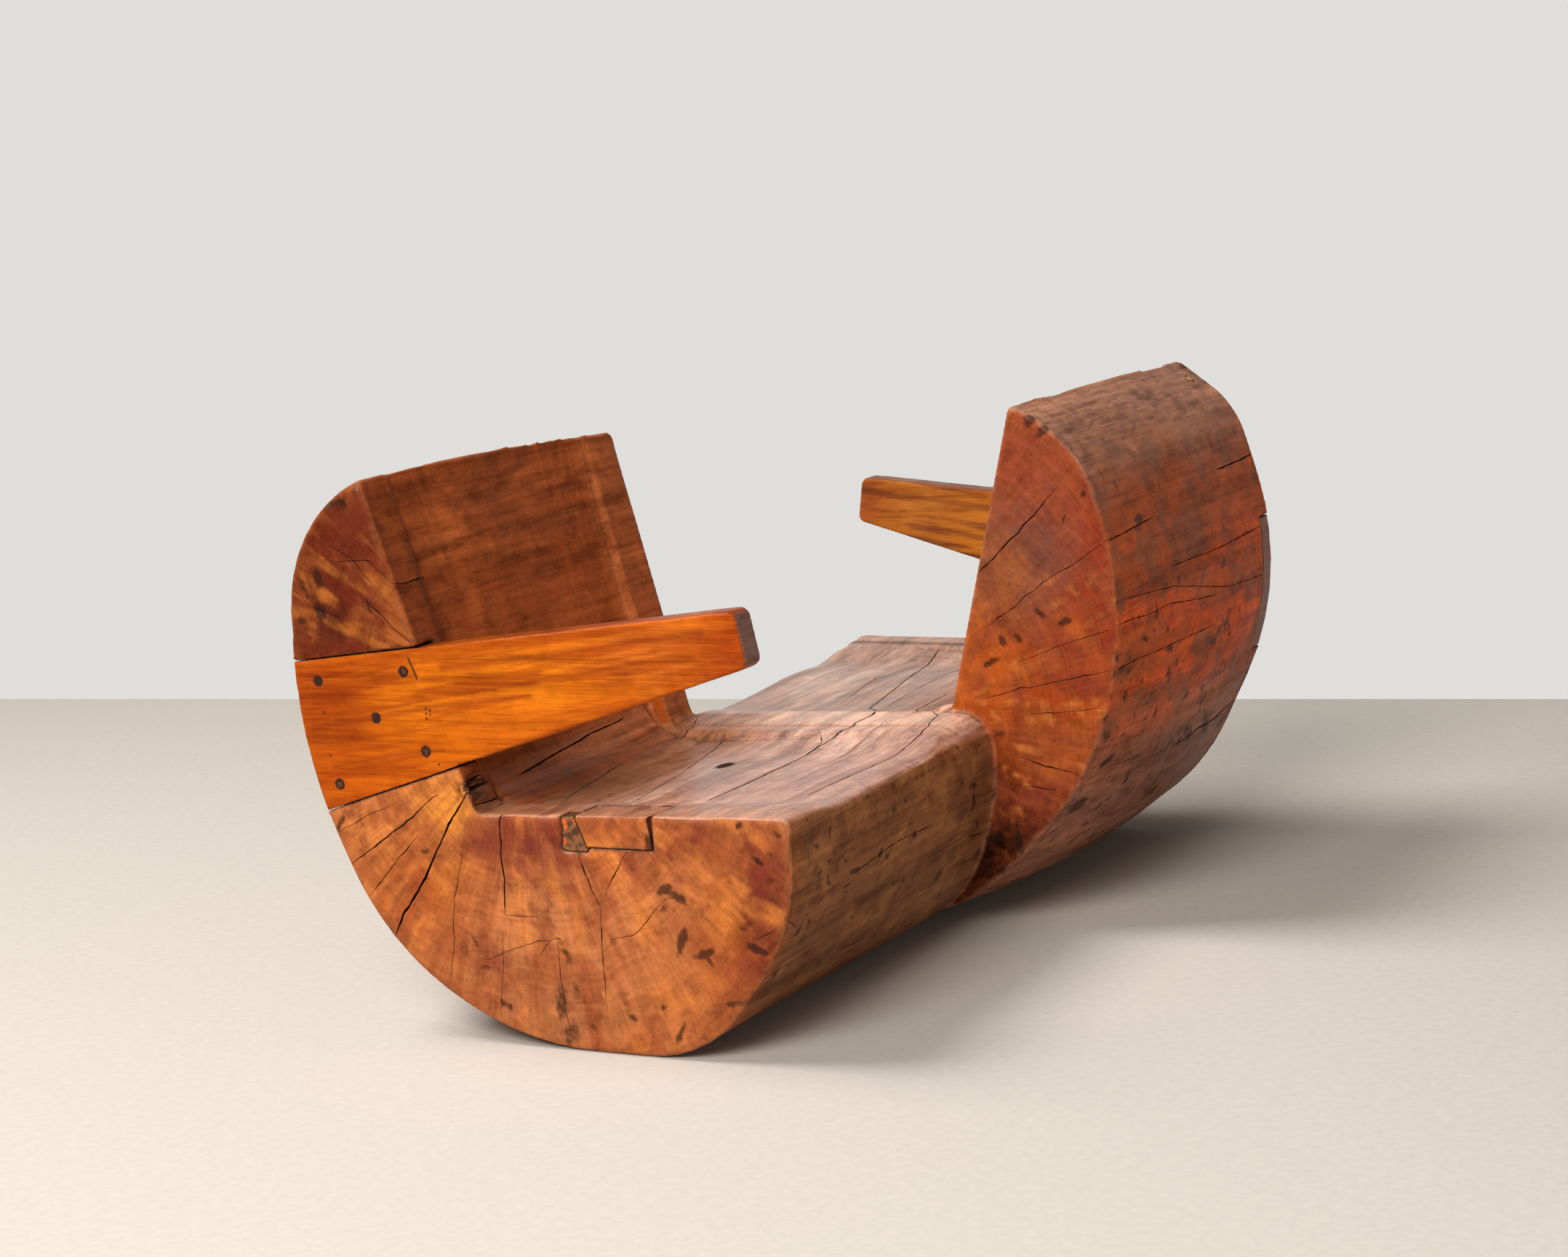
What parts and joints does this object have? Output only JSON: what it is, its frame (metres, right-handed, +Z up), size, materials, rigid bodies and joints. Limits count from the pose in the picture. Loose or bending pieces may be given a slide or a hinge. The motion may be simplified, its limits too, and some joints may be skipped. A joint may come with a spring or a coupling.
{
  "type": "two-seat conversation chair",
  "caption": "Conversation chair carved from one log: dished seats facing opposite ways, each with a leaning backrest and a pegged plank armrest",
  "frame": {"origin": "on the floor, under the middle of the log", "axes": "+X along the log away from the pictured end, +Z up, +Y towards the backrest of the pictured end"},
  "size_m": [1.446, 1.0636, 0.8673],
  "materials": {
    "log_wood": "satin varnish over dark weathered hardwood",
    "plank_wood": "satin varnish over orange hardwood",
    "peg_wood": "dark end grain",
    "inlay_wood": "satin varnish",
    "filler": "rough dark knot filling",
    "plug_wood": "pale end grain"
  },
  "bodies": {
    "root": {"log_body": "log_wood", "near_armrest": "plank_wood", "far_armrest": "plank_wood", "near_peg_1": "peg_wood", "near_peg_2": "peg_wood", "near_peg_3": "peg_wood", "near_peg_4": "peg_wood", "near_peg_5": "peg_wood", "far_peg_1": "peg_wood", "far_peg_2": "peg_wood", "far_peg_3": "peg_wood", "far_peg_4": "peg_wood", "far_peg_5": "peg_wood", "seat_edge_inlay": "inlay_wood", "knot_filler": "filler", "shoulder_plug": "plug_wood"}
  },
  "joints": []
}
